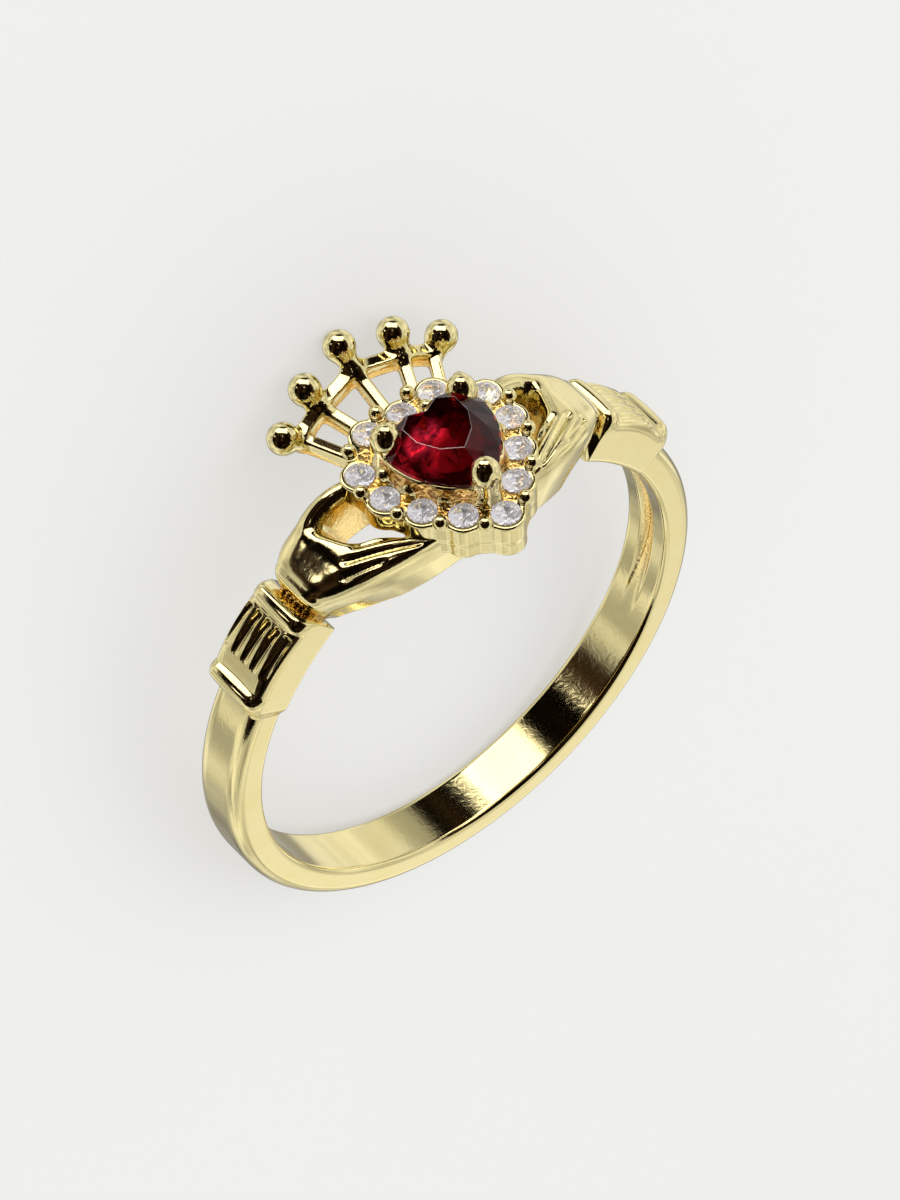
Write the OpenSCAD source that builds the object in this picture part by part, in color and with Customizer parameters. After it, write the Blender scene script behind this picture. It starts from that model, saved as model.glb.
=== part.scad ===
// A claddagh ring: one casting with a heart stone and a halo of small round stones.
// Ring axes: x across the head, y along the finger towards the crown, z out through the head.
// lay_down() then lays the ring on its side, crown downwards, as it rests by itself.

/* [Finger hole] */
// Inside diameter of the ring
finger_d = 17.3; // [15:0.1:21]

/* [Band] */
// Width of the band along the finger
band_w = 2.1; // [1.6:0.1:2.4]
// Thickness of the band at the bottom
band_t = 1.1; // [0.8:0.05:1.4]
// How much thicker the band is at the sides than at the bottom
band_gain = 0.1; // [0:0.02:0.2]
// Radius of the band's outer corners
band_corner = 0.35; // [0.15:0.05:0.5]
// Width of the hollow run inside each shoulder
shoulder_hollow_w = 0.6; // [0.4:0.05:0.9]
// Depth of the hollow run inside each shoulder
shoulder_hollow_t = 0.3; // [0.15:0.05:0.4]
// Angle that the hollow run spans
shoulder_hollow_span = 47; // [30:1:60]

/* [Cuffs] */
// Angle from the head to the hand's end of a cuff
cuff_start = 37.5; // [36:0.5:40]
// Angle that a cuff spans
cuff_span = 24; // [21:0.5:26]
// Width of a cuff along the finger
cuff_w = 2.5; // [2.2:0.1:2.8]
// Thickness of a cuff outside the finger hole
cuff_t = 1.7; // [1.5:0.05:1.9]
// Angle that each raised rim of a cuff spans
rim_span = 4; // [3:0.5:5]
// How far the rims stand out of the cuff
rim_rise = 0.16; // [0.05:0.01:0.25]
// Number of grooves across a cuff
groove_count = 5; // [3:1:5]
// Width of a groove
groove_w = 0.26; // [0.15:0.01:0.3]
// Depth of a groove
groove_t = 0.22; // [0.1:0.01:0.3]
// Angle that the grooves span
groove_span = 9.5; // [7:0.5:10]

/* [Hands] */
// Widest reach of a hand towards the heart's point
hand_low = 2.9; // [2.6:0.1:3.1]
// Widest reach of a hand towards the crown
hand_high = 1.5; // [1.4:0.1:1.8]
// Thickness of the back of a hand outside the finger hole
hand_t = 2.35; // [2.1:0.05:2.5]
// Radius of the tool that carves the lines between the fingers
finger_line_r = 0.16; // [0.1:0.01:0.2]
// Depth of the lines between the fingers
finger_line_t = 0.14; // [0.08:0.01:0.2]
// How much lower the lines lie at the fingers' end
finger_line_drop = 0.12; // [0.05:0.01:0.2]

/* [Halo] */
// Height of the small stones' girdles above the finger hole
halo_rise = 2.4; // [2.3:0.05:2.7]
// Distance between the outermost small stones' centres
halo_w = 5.2; // [5:0.1:5.6]
// Distance from the lowest small stone's centre to the highest
halo_h = 5.45; // [5.3:0.1:5.9]
// Distance from the head's middle to the lowest small stone
halo_low = 3.75; // [3.6:0.05:3.9]
// Thickness of the halo's plate
halo_t = 0.85; // [0.75:0.05:1]
// Height of the halo's skirt under the heart's point
skirt_t = 1.45; // [1.2:0.05:1.6]
// Metal round each small stone
halo_wall = 0.13; // [0.1:0.01:0.18]
// Diameter of a bead that holds the small stones
bead_d = 0.34; // [0.26:0.02:0.4]

/* [Small stones] */
// Diameter of a small stone
stone_d = 1; // [0.9:0.02:1.1]

/* [Heart stone] */
// Width of the heart stone
heart_w = 3.9; // [3.7:0.05:4]
// Length of the heart stone
heart_l = 3.85; // [3.7:0.05:4]
// Height of the heart stone's girdle above the small stones' girdles
heart_rise = 0.85; // [0.75:0.05:1.1]
// Depth of the heart stone under its girdle
heart_depth = 1.45; // [1.2:0.05:1.6]
// Height of the table over the girdle
heart_crown = 0.62; // [0.4:0.02:0.8]
// Gap between a stone and its seat
stone_gap = 0.03; // [0.02:0.01:0.05]
// Diameter of a claw's ball
claw_d = 0.96; // [0.8:0.02:1.1]
// Height of a claw's ball above the heart stone's girdle
claw_rise = 0.42; // [0.36:0.02:0.6]
// Diameter of a claw's post
claw_post_d = 0.62; // [0.5:0.02:0.7]

/* [Crown] */
// Distance from the head's middle to the middle ball
crown_reach = 4.85; // [4.6:0.05:5.1]
// Distance between the outer balls' centres
crown_w = 6.6; // [6.2:0.1:7]
// Height of the middle ball above the small stones' girdles
crown_rise = 0.5; // [0.2:0.05:0.7]
// Drop from the middle ball to the outer balls
crown_drop = 1.05; // [0.8:0.05:1.3]
// Diameter of a crown ball
ball_d = 1.12; // [0.9:0.02:1.2]
// Drop from the small stones' girdles to the bars where the rim crosses the middle one
knot_drop = 0.05; // [0:0.05:0.3]
// Drop from the small stones' girdles to the tops of the bars' feet
foot_drop = 0.8; // [0.7:0.05:1]
// Width of a crown bar
bar_w = 0.38; // [0.3:0.02:0.5]
// Depth of a crown bar
bar_t = 0.62; // [0.5:0.02:0.8]

/* [Hidden] */
$fn = 48;
finger_r = finger_d / 2;
head_z = finger_r + halo_rise;
cuff_end = cuff_start + cuff_span;
over = 0.5;                 // how far tools run past what they cut
bore_l = 2 * (crown_reach + ball_d);
sink = 0.6;                 // how far the limbs reach into the finger hole before it is cut
band_tuck = 3;              // angle that the band runs on inside a cuff
hollow_tuck = 8;            // angle from a cuff's start to the hollow run inside the shoulder
rim_gap = 0.7;              // angle between a cuff's rim and its grooves
groove_edge = 0.26;         // from a cuff's side to the middle of its outer groove
heart_z = head_z + heart_rise;
halo_lip = 0.02;            // rim of the halo over the small stones' girdles
halo_top = head_z + halo_lip;
skirt_step = 0.02;          // how far the skirt stands in from the plate's edge
pocket_t = 0.5;             // depth of the pocket round the heart's cup
pocket_share = 0.78;        // pocket's size as a share of the ring of small stones
seat_t = 0.6;               // depth of a small stone's seat
seat_tip_r = 0.05;          // radius of a seat's point
bead_inset = 0.1;           // how far a bead stands in from the edge of its seat
open_back_r = 1.05;         // radius of the open back under the heart stone
open_back_up = -0.2;        // its place from the head's middle as a share of heart_l
cup_share = 0.86;           // cup's width as a share of the heart stone's
cup_lip = 0.1;              // from the cup's edge up to the heart stone's girdle
cup_lift = 0.05;            // from the underside of the plate up to the cup's
claw_lean = 0.12;           // how far a claw's ball leans in over the heart stone
heart_steps = 7;            // straight steps in each of a heart's four arcs

// Small stones of one side: share of halo_w / 2 across, share of halo_h up from the lowest stone
ACROSS = 0;
UP = 1;
SIDE_SEATS = [
    [0.42, 0.15],
    [0.76, 0.335],
    [0.99, 0.55],
    [1.00, 0.785],
    [0.52, 1.00],
];
MIDDLE_SEATS = [[0, 0], [0, 0.985]];

function seat_at(row, side) =
    [side * row[ACROSS] * halo_w / 2, row[UP] * halo_h - halo_low];

// Seats in turn round the halo, from the lowest one
SEATS = concat(
    [seat_at(MIDDLE_SEATS[0], 1)],
    [for (row = SIDE_SEATS) seat_at(row, 1)],
    [seat_at(MIDDLE_SEATS[1], 1)],
    [for (i = [len(SIDE_SEATS) - 1:-1:0]) seat_at(SIDE_SEATS[i], -1)]
);
seat_r = stone_d / 2 + stone_gap;

// Crown bars of one side: shares of crown_w / 2 across and of crown_reach up for the ball and
// for the knot where the rim crosses, and for the foot a share of halo_w / 2 across
BALL_ACROSS = 0;
BALL_UP = 1;
KNOT_ACROSS = 2;
KNOT_UP = 3;
FOOT_ACROSS = 4;
CROWN_ROWS = [
    [0.00, 1.00, 0.00, 0.76, 0.00],
    [0.555, 0.90, 0.51, 0.73, 0.31],
    [1.00, 0.765, 0.84, 0.70, 0.70],
];
knot_fall = 0.7;            // fall of the outer knots as a share of crown_drop
foot_up = 0.30;             // bars' feet from the head's middle as a share of halo_h
rail_w = 0.8;               // width of the rail under the halo that the bars stand on
rail_share = 0.8;           // length of that rail as a share of halo_w
stem_foot = 0.75;           // radius of a stem's foot as a share of bar_w
stem_neck = 0.33;           // radius of a stem's neck as a share of ball_d

// Sections of a hand from the cuff to the halo: share of cuff_start,
// share of hand_low towards the point, share of hand_high towards the crown, share of hand_t
limb_steps = 12;            // straight steps over a limb's back
limb_power = 0.8;           // below 1 the back is squarer than a round
side_share = 0.45;          // height of a limb's straight sides as a share of its thickness
foot_share = 0.8;           // width of a limb at the finger hole as a share of its widest
foot_step = 0.2;            // how much deeper one side reaches than the other, as a share of sink
skew = 1.5;                 // how far a limb's two ends turn from square to the finger
ALONG = 0;
LOW = 1;
HIGH = 2;
THICK = 3;
PALM = [
    [1.03, -0.28, 0.50, 0.50],
    [0.96, -0.29, 0.52, 0.54],
    [0.89, -0.44, 0.70, 0.76],
    [0.79, -0.62, 0.86, 0.93],
    [0.69, -0.74, 0.60, 1.00],
    [0.60, -0.82, -0.36, 0.98],
    [0.49, -0.89, -0.76, 0.94],
    [0.39, -0.93, -1.12, 0.88],
    [0.28, -0.95, -1.38, 0.80],
    [0.10, -0.97, -1.55, 0.72],
];
THUMB = [
    [0.92, -0.05, 0.56, 0.60],
    [0.82, 0.00, 0.80, 0.82],
    [0.72, 0.06, 0.95, 0.95],
    [0.62, 0.17, 1.00, 1.01],
    [0.51, 0.17, 0.97, 1.04],
    [0.40, 0.12, 0.86, 1.00],
    [0.26, -0.10, 0.62, 0.90],
];

// Lines between the fingers: share of cuff_start, height along the finger as a share of hand_low,
// at the palm's end and at the fingers' end
FROM_ALONG = 0;
FROM_UP = 1;
TO_ALONG = 2;
TO_UP = 3;
FINGER_LINES = [
    [0.63, -0.25, 0.34, -0.86],
    [0.70, -0.30, 0.42, -0.90],
    [0.74, -0.46, 0.56, -0.80],
];

function polar(r, a, y) = [r * sin(a), y, r * cos(a)];

// Lays the ring on its side so that the middle ball and the band's far edge touch the ground
middle_ball = [crown_reach, head_z + crown_rise];
far_edge = [band_w / 2 - band_corner, -(finger_r + band_t - band_corner)];
rest_span = middle_ball - far_edge;
rest_tilt = atan2(rest_span[0], rest_span[1])
    + asin((ball_d / 2 - band_corner) / norm(rest_span));

module lay_down() {
    rotate([-rest_tilt, 0, 0]) rotate([-90, 0, 180]) children();
}

// Turns a profile drawn as [radius, place along the finger] about the finger axis
module round_finger(from_angle, angle) {
    rotate([-90, 0, 0])
        rotate([0, 0, from_angle - 90])
            rotate_extrude(angle = angle) children();
}

function arc(cx, cy, r, a0, a1, n) =
    [for (i = [0:n]) let (a = a0 + (a1 - a0) * i / n) [cx + r * cos(a), cy + r * sin(a)]];

// A wall's profile with rounded outer corners
module wall_profile(t, w, corner) {
    r1 = finger_r + t;
    polygon(concat(
        [[finger_r - over, -w / 2]],
        arc(r1 - corner, -w / 2 + corner, corner, -90, 0, 5),
        arc(r1 - corner, w / 2 - corner, corner, 0, 90, 5),
        [[finger_r - over, w / 2]]
    ));
}

// The band runs from cuff to cuff under the finger, a little thicker at its sides
module band() {
    from_angle = cuff_start + band_tuck;
    translate([0, 0, band_gain])
        round_finger(from_angle, 360 - 2 * from_angle)
            wall_profile(band_t + band_gain, band_w, band_corner);
}

module cuff() {
    round_finger(cuff_start + rim_span / 2, cuff_span - rim_span)
        wall_profile(cuff_t, cuff_w, band_corner);
    for (a = [cuff_start, cuff_end - rim_span])
        round_finger(a, rim_span)
            wall_profile(cuff_t + rim_rise, cuff_w + rim_rise, band_corner + rim_rise);
}

module cuff_grooves() {
    pitch = (cuff_w - 2 * groove_edge) / (groove_count - 1);
    r = finger_r + cuff_t - groove_t;
    for (i = [0:groove_count - 1])
        round_finger(cuff_start + rim_span + rim_gap, groove_span)
            translate([r, (i - (groove_count - 1) / 2) * pitch - groove_w / 2])
                square([groove_t + over, groove_w]);
}

// Hollow run inside the shoulder
module shoulder_hollow() {
    r = shoulder_hollow_w / 2;
    round_finger(cuff_start + hollow_tuck, shoulder_hollow_span)
        translate([finger_r + shoulder_hollow_t - r, 0]) circle(r);
}

// A limb swept round the finger through a table of sections, each a round back on leaning sides
module limb(rows) {
    arch = [for (k = [0:limb_steps]) let (a = 180 * k / limb_steps)
        [sign(cos(a)) * pow(abs(cos(a)), limb_power), pow(sin(a), limb_power)]];
    function section(row, turn) =
        let (lo = row[LOW] * hand_low, hi = row[HIGH] * hand_high,
             mid = (lo + hi) / 2, half = (hi - lo) / 2,
             r1 = finger_r + row[THICK] * hand_t,
             r_side = finger_r + row[THICK] * hand_t * side_share)
        concat(
            [for (p = arch)
                polar(r_side + p[1] * (r1 - r_side), row[ALONG] * cuff_start - turn * p[0],
                      mid + p[0] * half)],
            [for (s = [-1, 1])
                polar(finger_r - sink * (1 + foot_step * s),
                      row[ALONG] * cuff_start - turn * s * foot_share,
                      mid + s * half * foot_share)]
        );
    n = limb_steps + 3;
    end = len(rows) - 1;
    last = end * n;
    points = [for (i = [0:end]) each section(rows[i], i == 0 || i == end ? skew : 0)];
    faces = concat(
        [[for (k = [n - 1:-1:0]) k]],
        [for (i = [0:len(rows) - 2]) for (k = [0:n - 1])
            [i * n + k, i * n + (k + 1) % n, (i + 1) * n + k]],
        [for (i = [0:len(rows) - 2]) for (k = [0:n - 1])
            [i * n + (k + 1) % n, (i + 1) * n + (k + 1) % n, (i + 1) * n + k]],
        [[for (k = [0:n - 1]) last + k]]
    );
    polyhedron(points, faces);
}

module finger_line(row) {
    r = finger_r + hand_t + finger_line_r - finger_line_t;
    a = polar(r, row[FROM_ALONG] * cuff_start, row[FROM_UP] * hand_low);
    b = polar(r - finger_line_drop, row[TO_ALONG] * cuff_start, row[TO_UP] * hand_low);
    d = b - a;
    translate(a)
        rotate([0, acos(d[2] / norm(d)), atan2(d[1], d[0])])
            cylinder(h = norm(d), r = finger_line_r);
}

module hand() {
    difference() {
        union() {
            limb(PALM);
            limb(THUMB);
        }
        for (row = FINGER_LINES) finger_line(row);
    }
}

// A disc round each small stone from one seat on, and the walls that link them
module seat_chain(first, links, wall) {
    n = len(SEATS);
    for (i = [first:first + links]) {
        a = SEATS[(n + i) % n];
        d = SEATS[(n + i + 1) % n] - a;
        translate(a) circle(seat_r + wall);
        if (i < first + links)
            translate(a + d / 2)
                rotate(atan2(d[1], d[0]))
                    square([norm(d), 2 * (seat_r + wall - halo_wall)], center = true);
    }
}

module halo_plate() {
    translate([0, 0, halo_top - halo_t]) linear_extrude(halo_t) {
        polygon(SEATS);
        seat_chain(0, len(SEATS), halo_wall);
    }
    // skirt under the heart's point
    translate([0, 0, halo_top - skirt_t])
        linear_extrude(skirt_t - halo_t / 2) seat_chain(-1, 2, halo_wall - skirt_step);
}

// Pocket between the ring of small stones and the heart's cup
module halo_pocket() {
    translate([0, 0, halo_top - pocket_t])
        linear_extrude(over + pocket_t)
            polygon([for (p = SEATS) p * pocket_share]);
}

module halo_seats() {
    for (p = SEATS) translate([p[0], p[1], head_z]) {
        cylinder(h = over, r = seat_r);
        translate([0, 0, -seat_t]) cylinder(h = seat_t, r1 = seat_tip_r, r2 = seat_r);
    }
}

// Beads raised beside the small stones, inside and outside their ring
module halo_beads() {
    n = len(SEATS);
    for (i = [0:n - 1]) {
        a = SEATS[i];
        b = SEATS[(i + 1) % n];
        mid = (a + b) / 2;
        d = b - a;
        out = [d[1], -d[0]] / norm(d);
        for (side = [-1, 1]) {
            p = mid + out * side * (seat_r - bead_inset);
            translate([p[0], p[1], head_z]) sphere(d = bead_d);
        }
    }
}

// Half of a heart of width w and length l, from the cleft round to the point, as two arcs:
// the lobe's and the side's, whose radii are shares of the width
lobe_r = 0.28;
side_r = 0.82;
lobe_top = 0.22;            // how much of the length lies above the heart's middle
function heart_half(w, l, n) =
    let (r = lobe_r * w, a = w / 2 - r, big = side_r * w,
         b = lobe_top * l - r, c = [a, b], tip = [0, (lobe_top - 1) * l],
         v = c - tip,
         q = (v * v + pow(big - r, 2) - big * big) / (2 * (big - r)),
         turn = atan2(v[1], v[0]) - acos(q / norm(v)),
         cleft = acos(-a / r),
         s = c - (big - r) * [cos(turn), sin(turn)],
         end = atan2(tip[1] - s[1], tip[0] - s[0]),
         side = arc(s[0], s[1], big, turn, end, n))
    concat(arc(c[0], c[1], r, cleft, turn, n), [for (i = [1:n]) side[i]]);

// The whole heart, anticlockwise from the cleft
function heart(w, l, n) =
    let (h = heart_half(w, l, n), m = len(h))
    concat([for (i = [0:m - 1]) [-h[i][0], h[i][1]]], [for (i = [m - 2:-1:1]) h[i]]);

// Cup that the heart stone sits in
module cup() {
    low = halo_top - halo_t + cup_lift;
    translate([0, 0, low])
        linear_extrude(heart_z - cup_lip - low)
            polygon(heart(heart_w * cup_share, heart_l * cup_share, heart_steps));
}

// Where the three claws stand round the heart stone, as shares of its width and length
CLAWS = [[0.40, 0.10], [-0.40, 0.10], [0, -0.72]];

module claws() {
    low = halo_top - halo_t / 2;
    for (row = CLAWS) {
        p = [row[0] * heart_w, row[1] * heart_l];
        foot = p * (1 + claw_lean / norm(p));
        translate([foot[0], foot[1], low])
            cylinder(h = heart_z + claw_rise - claw_lean - low, d = claw_post_d);
        translate([p[0], p[1], heart_z + claw_rise]) sphere(d = claw_d);
    }
}

// Rows of [x, y] outlines at rising heights, joined into one solid
module stack(outlines, heights) {
    n = len(outlines[0]);
    m = len(outlines);
    points = [for (i = [0:m - 1]) for (p = outlines[i]) [p[0], p[1], heights[i]]];
    faces = concat(
        [[for (k = [0:n - 1]) k]],
        [for (i = [0:m - 2]) for (k = [0:n - 1])
            [i * n + k, (i + 1) * n + (k + 1) % n, i * n + (k + 1) % n]],
        [for (i = [0:m - 2]) for (k = [0:n - 1])
            [i * n + k, (i + 1) * n + k, (i + 1) * n + (k + 1) % n]],
        [[for (k = [n - 1:-1:0]) (m - 1) * n + k]]
    );
    polyhedron(points, faces);
}

// Outlines up the heart stone: share of its width and length, and height as a share of
// heart_depth below the girdle and of heart_crown above it
SIZE = 0;
HEIGHT = 1;
HEART_ROWS = [[0.18, -1], [0.62, -0.5], [1, -0.06], [1, 0.06], [0.80, 0.62], [0.56, 1]];

// The heart stone, grown by a gap for its seat
module heart_solid(gap) {
    stack(
        [for (row = HEART_ROWS)
            heart(heart_w * row[SIZE] + 2 * gap, heart_l * row[SIZE] + 2 * gap, heart_steps)],
        [for (row = HEART_ROWS) let (up = row[HEIGHT])
            heart_z + up * (up < 0 ? heart_depth : heart_crown) + gap * sign(up)]
    );
}

// Outlines up a small stone: share of its radius, height as a share of its diameter,
// and a turn in facets
TURN = 2;
STONE_ROWS = [[0.12, -0.42, 0], [1, -0.02, 0], [1, 0.02, 0], [0.58, 0.16, 0.5]];
facets = 8;

// A round stone with a table, eight main facets and a pointed back
module round_stone(p) {
    function outline(row) =
        [for (k = [0:facets - 1]) let (a = 360 * (k + row[TURN]) / facets)
            stone_d / 2 * row[SIZE] * [cos(a), sin(a)]];
    translate([p[0], p[1], head_z])
        stack([for (row = STONE_ROWS) outline(row)],
              [for (row = STONE_ROWS) row[HEIGHT] * stone_d]);
}

function ball_at(row, side) = [
    side * row[BALL_ACROSS] * crown_w / 2,
    row[BALL_UP] * crown_reach,
    head_z + crown_rise - crown_drop * pow(row[BALL_ACROSS], 2)
];

// The bars' middle lines run half their depth under their tops
function knot_at(row, side) = [
    side * row[KNOT_ACROSS] * crown_w / 2,
    row[KNOT_UP] * crown_reach,
    head_z - knot_drop - knot_fall * crown_drop * pow(row[BALL_ACROSS], 2) - bar_t / 2
];

function foot_at(row, side) = [
    side * row[FOOT_ACROSS] * halo_w / 2,
    foot_up * halo_h,
    head_z - foot_drop - bar_t / 2
];

// A square bar from a to b, its face turned outwards
module bar(a, b) {
    d = b - a;
    translate(a)
        rotate([0, 0, atan2(d[1], d[0])])
            rotate([0, -atan2(d[2], norm([d[0], d[1]])), 0])
                translate([0, -bar_w / 2, -bar_t / 2]) cube([norm(d), bar_w, bar_t]);
}

// A flared stem under a crown ball
module stem(a, b) {
    d = b - a;
    translate(a)
        rotate([0, acos(d[2] / norm(d)), atan2(d[1], d[0])])
            cylinder(h = norm(d), r1 = bar_w * stem_foot, r2 = ball_d * stem_neck);
}

module crown() {
    last = len(CROWN_ROWS) - 1;
    sides = concat([for (i = [last:-1:0]) [CROWN_ROWS[i], -1]],
                   [for (i = [1:last]) [CROWN_ROWS[i], 1]]);
    balls = [for (s = sides) ball_at(s[0], s[1])];
    knots = [for (s = sides) knot_at(s[0], s[1])];
    feet = [for (s = sides) foot_at(s[0], s[1])];
    for (i = [0:len(sides) - 1]) {
        bar(feet[i], knots[i] + (knots[i] - feet[i]) * bar_w / 2 / norm(knots[i] - feet[i]));
        stem(knots[i], balls[i]);
        translate(balls[i]) sphere(d = ball_d);
        if (i > 0) bar(knots[i - 1], knots[i]);
    }
    // rail under the halo
    rail_low = head_z - foot_drop - bar_t;
    translate([-halo_w * rail_share / 2, foot_up * halo_h - rail_w / 2, rail_low])
        cube([halo_w * rail_share, rail_w, halo_top - halo_t / 2 - rail_low]);
}

module casting() {
    color("gold") lay_down() difference() {
        union() {
            difference() {
                halo_plate();
                halo_pocket();
            }
            cup();
            claws();
            halo_beads();
            crown();
            band();
            for (m = [0, 1]) mirror([m, 0, 0]) {
                cuff();
                hand();
            }
        }
        rotate([90, 0, 0]) cylinder(h = bore_l, r = finger_r, center = true);
        translate([0, open_back_up * heart_l, 0]) cylinder(h = head_z, r = open_back_r);
        heart_solid(stone_gap);
        halo_seats();
        for (m = [0, 1]) mirror([m, 0, 0]) {
            cuff_grooves();
            shoulder_hollow();
        }
    }
}

module heart_stone() {
    color("crimson") lay_down() heart_solid(0);
}

module halo_stone(i) {
    color("white") lay_down() round_stone(SEATS[i - 1]);
}

casting();
heart_stone();
for (i = [1:len(SEATS)])
    halo_stone(i);
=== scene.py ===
import math

import bmesh
import bpy
import numpy as np
from mathutils import Matrix, Vector


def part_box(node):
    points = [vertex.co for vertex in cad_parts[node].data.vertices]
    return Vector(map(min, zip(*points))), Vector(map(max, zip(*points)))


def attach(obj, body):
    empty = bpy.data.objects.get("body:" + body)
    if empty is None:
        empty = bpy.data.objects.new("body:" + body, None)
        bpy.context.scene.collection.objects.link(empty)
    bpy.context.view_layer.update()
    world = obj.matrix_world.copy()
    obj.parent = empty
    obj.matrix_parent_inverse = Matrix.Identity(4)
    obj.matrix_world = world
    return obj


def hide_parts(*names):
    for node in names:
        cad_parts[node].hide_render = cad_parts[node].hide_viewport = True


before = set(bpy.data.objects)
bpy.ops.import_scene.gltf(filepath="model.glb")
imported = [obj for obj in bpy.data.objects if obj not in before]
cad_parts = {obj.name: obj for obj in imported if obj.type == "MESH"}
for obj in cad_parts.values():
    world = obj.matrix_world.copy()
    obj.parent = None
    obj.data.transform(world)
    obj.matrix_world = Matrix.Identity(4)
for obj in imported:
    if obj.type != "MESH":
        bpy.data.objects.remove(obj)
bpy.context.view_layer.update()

# How the ring lies
# The ring is worked on in its own axes, in millimetres: x across the head, y along the finger
# towards the crown, z out through the head. It lies on its side on the middle ball of the crown
# and the far edge of the band, and one matrix takes it there.
FINGER_R = 8.65
BAND_W, BAND_T, BAND_CORNER = 2.1, 1.1, 0.35
HEAD_Z = FINGER_R + 2.4
CROWN_REACH, CROWN_RISE, BALL_D = 4.85, 0.5, 1.12
MM = 0.001

rest_span = np.array([
    CROWN_REACH - (BAND_W / 2 - BAND_CORNER),
    HEAD_Z + CROWN_RISE + (FINGER_R + BAND_T - BAND_CORNER),
])
rest_tilt = math.atan2(*rest_span) + math.asin(
    (BALL_D / 2 - BAND_CORNER) / np.linalg.norm(rest_span))
laid_down = Matrix(((-1, 0, 0), (0, 0, -1), (0, -1, 0)))
to_frame = np.array(Matrix.Rotation(-rest_tilt, 3, "X") @ laid_down)

# Camera
# It looks at the head from the left and from in front, at the angle of the photograph.
RIGHT, UP, BACK = (0.778, -0.627, -0.045), (0.521, 0.605, 0.601), (-0.349, -0.492, 0.798)
CAMERA_DISTANCE = 231.3
LENS = 206.6
SHIFT = (-0.0027, 0.0411)

camera = bpy.data.objects.new("camera", bpy.data.cameras.new("camera"))
bpy.context.scene.collection.objects.link(camera)
axes = Matrix(to_frame @ np.array([RIGHT, UP, BACK]).T)
camera.matrix_world = Matrix.Translation(
    Vector(to_frame @ np.array(BACK)) * CAMERA_DISTANCE * MM) @ axes.to_4x4()
camera.data.lens = LENS
camera.data.sensor_width = 36
camera.data.shift_x, camera.data.shift_y = SHIFT
camera.data.clip_start, camera.data.clip_end = 0.01, 10
bpy.context.scene.camera = camera


# Floor and light
# A plain pale floor under soft daylight. A tent that only the polished metal and the stones
# mirror stands round the ring: white cloth in folds, a dark room on the side that the picture
# is taken from, one window of light above and two small lamps.
class Wire:
    """A socket of a node tree, worked with as a number."""

    def __init__(self, tree, socket=None):
        self.tree, self.socket = tree, socket

    def add(self, kind, settings=None, sockets=None, out=0):
        """A node of this kind: its settings first, then its sockets' values or links."""
        node = self.tree.nodes.new(kind)
        for name, value in (settings or {}).items():
            setattr(node, name, value)
        for name, value in (sockets or {}).items():
            if isinstance(value, Wire):
                self.tree.links.new(value.socket, node.inputs[name])
            else:
                node.inputs[name].default_value = value
        return Wire(self.tree, node.outputs[out])

    def math(self, operation, *values):
        return self.add("ShaderNodeMath", {"operation": operation}, dict(enumerate(values)))

    def __add__(self, other):
        return self.math("ADD", self, other)

    def __radd__(self, other):
        return self.math("ADD", other, self)

    def __sub__(self, other):
        return self.math("SUBTRACT", self, other)

    def __rsub__(self, other):
        return self.math("SUBTRACT", other, self)

    def __mul__(self, other):
        return self.math("MULTIPLY", self, other)

    def __rmul__(self, other):
        return self.math("MULTIPLY", other, self)

    def step(self, low, high):
        """0 under low, 1 over high, smooth between."""
        return self.add("ShaderNodeMapRange", {"interpolation_type": "SMOOTHSTEP"},
                        {"Value": self, "From Min": low, "From Max": high})

    def within(self, low, full, waning, high):
        """1 from full to waning, 0 under low and over high, smooth between."""
        return self.step(low, full) * (1 - self.step(waning, high))

    def mix(self, a, b):
        """Colour a where this is 0 and b where it is 1."""
        a, b = [(*c, 1) if isinstance(c, tuple) else c for c in (a, b)]
        return self.add("ShaderNodeMix", {"data_type": "RGBA"}, {0: self, 6: a, 7: b}, out=2)

    def dot(self, vector):
        """How far this vector reaches along another."""
        return self.add("ShaderNodeVectorMath", {"operation": "DOT_PRODUCT"},
                        {0: self, 1: tuple(vector)}, out=1)


def blank(name):
    """A material with an empty tree, its output node and a wire to build from."""
    material = bpy.data.materials.new(name)
    material.use_nodes = True
    tree = material.node_tree
    tree.nodes.clear()
    return material, tree.nodes.new("ShaderNodeOutputMaterial"), Wire(tree)


TENT_R = 0.6
CLOTH, WINDOW = (1.0, 0.98, 0.94), (1.0, 0.93, 0.88)
ROOM, ROOM_LIT = (0.010, 0.006, 0.003), (0.22, 0.12, 0.07)
CLOTH_LIGHT, DRAPE_LIGHT, WINDOW_LIGHT = 0.34, 1.05, 2.2
WAVES, FOLDS, CLUTTER = 7.0, 2.6, 3.1
SWAY = 0.16
FAR_DIM = 0.55


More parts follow.
